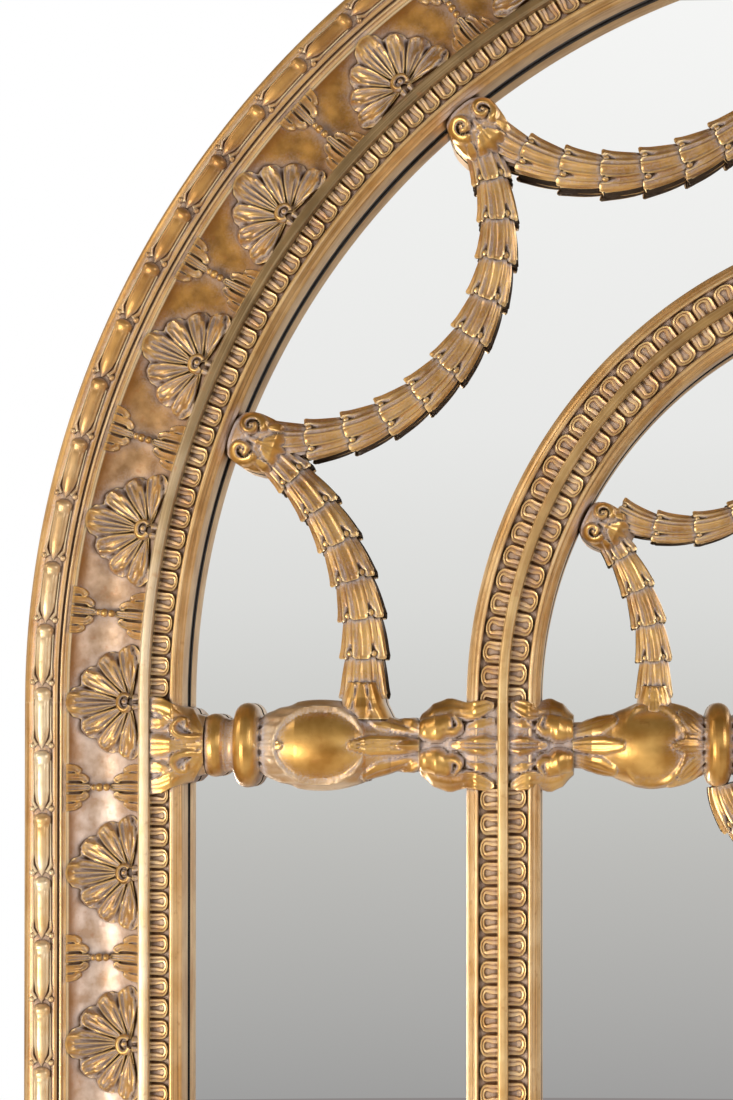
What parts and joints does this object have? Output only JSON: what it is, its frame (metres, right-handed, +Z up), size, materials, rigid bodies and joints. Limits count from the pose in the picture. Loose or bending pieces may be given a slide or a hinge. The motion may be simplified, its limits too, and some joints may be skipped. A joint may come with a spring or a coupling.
{
  "type": "arched wall mirror",
  "caption": "Arched wall mirror in a carved gilt frame, with an inner arch, mullions, a turned rail and husk swags over one plate; ring hangers behind.",
  "frame": {"origin": "on the wall plane, midway between the pivots of the two hanger rings", "axes": "+Z up, +Y into the wall, so that the front faces -Y and +X is to the viewer's right"},
  "size_m": [1.22, 0.069, 1.83],
  "materials": {
    "gilt_moulding": "oil-gilt gesso over timber, rubbed back, grey lime wash in the recesses",
    "gilt_ornament": "burnished gilt composition ornament with toned recesses",
    "carcass_timber": "planed pine, bare",
    "beech_dowel": "fluted beech dowel",
    "silvered_glass": "silvered float glass, plain edge",
    "hardboard": "brown hardboard, smooth face out",
    "zinc_plated_steel": "zinc plated",
    "black_rubber": "matte black rubber",
    "felt": "grey wool felt"
  },
  "bodies": {
    "frame": {"backing_board": "hardboard", "bead_moulding_arch_left": "gilt_moulding", "bead_moulding_arch_right": "gilt_moulding", "bead_moulding_bottom": "gilt_moulding", "bead_moulding_stile_left": "gilt_moulding", "bead_moulding_stile_right": "gilt_moulding", "board_clips": "zinc_plated_steel", "carcass_arch_left": "carcass_timber", "carcass_arch_right": "carcass_timber", "carcass_bottom_rail": "carcass_timber", "carcass_stile_left": "carcass_timber", "carcass_stile_right": "carcass_timber", "cove_moulding_arch_left": "gilt_moulding", "cove_moulding_arch_right": "gilt_moulding", "cove_moulding_bottom": "gilt_moulding", "cove_moulding_stile_left": "gilt_moulding", "cove_moulding_stile_right": "gilt_moulding", "felt_pads": "felt", "festoon": "gilt_ornament", "hanger_straps": "zinc_plated_steel", "husk_drops": "gilt_ornament", "inner_arch_left": "gilt_moulding", "inner_arch_right": "gilt_moulding", "inner_husk_drops": "gilt_ornament", "inner_swag_brackets": "gilt_ornament", "inner_swag_crown": "gilt_ornament", "inner_swag_left": "gilt_ornament", "inner_swag_right": "gilt_ornament", "joint_plates": "zinc_plated_steel", "leaf_bows": "gilt_ornament", "mirror_plate": "silvered_glass", "mullion_left": "gilt_moulding", "mullion_right": "gilt_moulding", "rail_frame_cups": "gilt_ornament", "rail_rosette": "gilt_ornament", "rail_scroll_leaves": "gilt_ornament", "rail_spindle_centre_left": "gilt_ornament", "rail_spindle_centre_right": "gilt_ornament", "rail_spindle_left": "gilt_ornament", "rail_spindle_right": "gilt_ornament", "raised_fillets": "gilt_moulding", "setting_blocks": "black_rubber", "shells": "gilt_ornament", "sight_moulding_arch_left": "gilt_moulding", "sight_moulding_arch_right": "gilt_moulding", "sight_moulding_bottom": "gilt_moulding", "sight_moulding_stile_left": "gilt_moulding", "sight_moulding_stile_right": "gilt_moulding", "swag_brackets": "gilt_ornament", "swag_crown": "gilt_ornament", "swag_lower_left": "gilt_ornament", "swag_lower_right": "gilt_ornament", "swag_upper_left": "gilt_ornament", "swag_upper_right": "gilt_ornament", "wall_bumpers": "black_rubber", "wood_dowels": "beech_dowel", "wood_screws": "zinc_plated_steel"},
    "ring_left": {"hanger_ring_left": "zinc_plated_steel"},
    "ring_right": {"hanger_ring_right": "zinc_plated_steel"}
  },
  "joints": [
    {"name": "ring_left_swing", "type": "hinge", "parent": "frame", "child": "ring_left", "pos_m": [-0.562, -0.0042, 0], "axis": [1, 0, 0], "range_deg": [0, 180]},
    {"name": "ring_right_swing", "type": "hinge", "parent": "frame", "child": "ring_right", "pos_m": [0.562, -0.0042, 0], "axis": [1, 0, 0], "range_deg": [0, 180]}
  ]
}
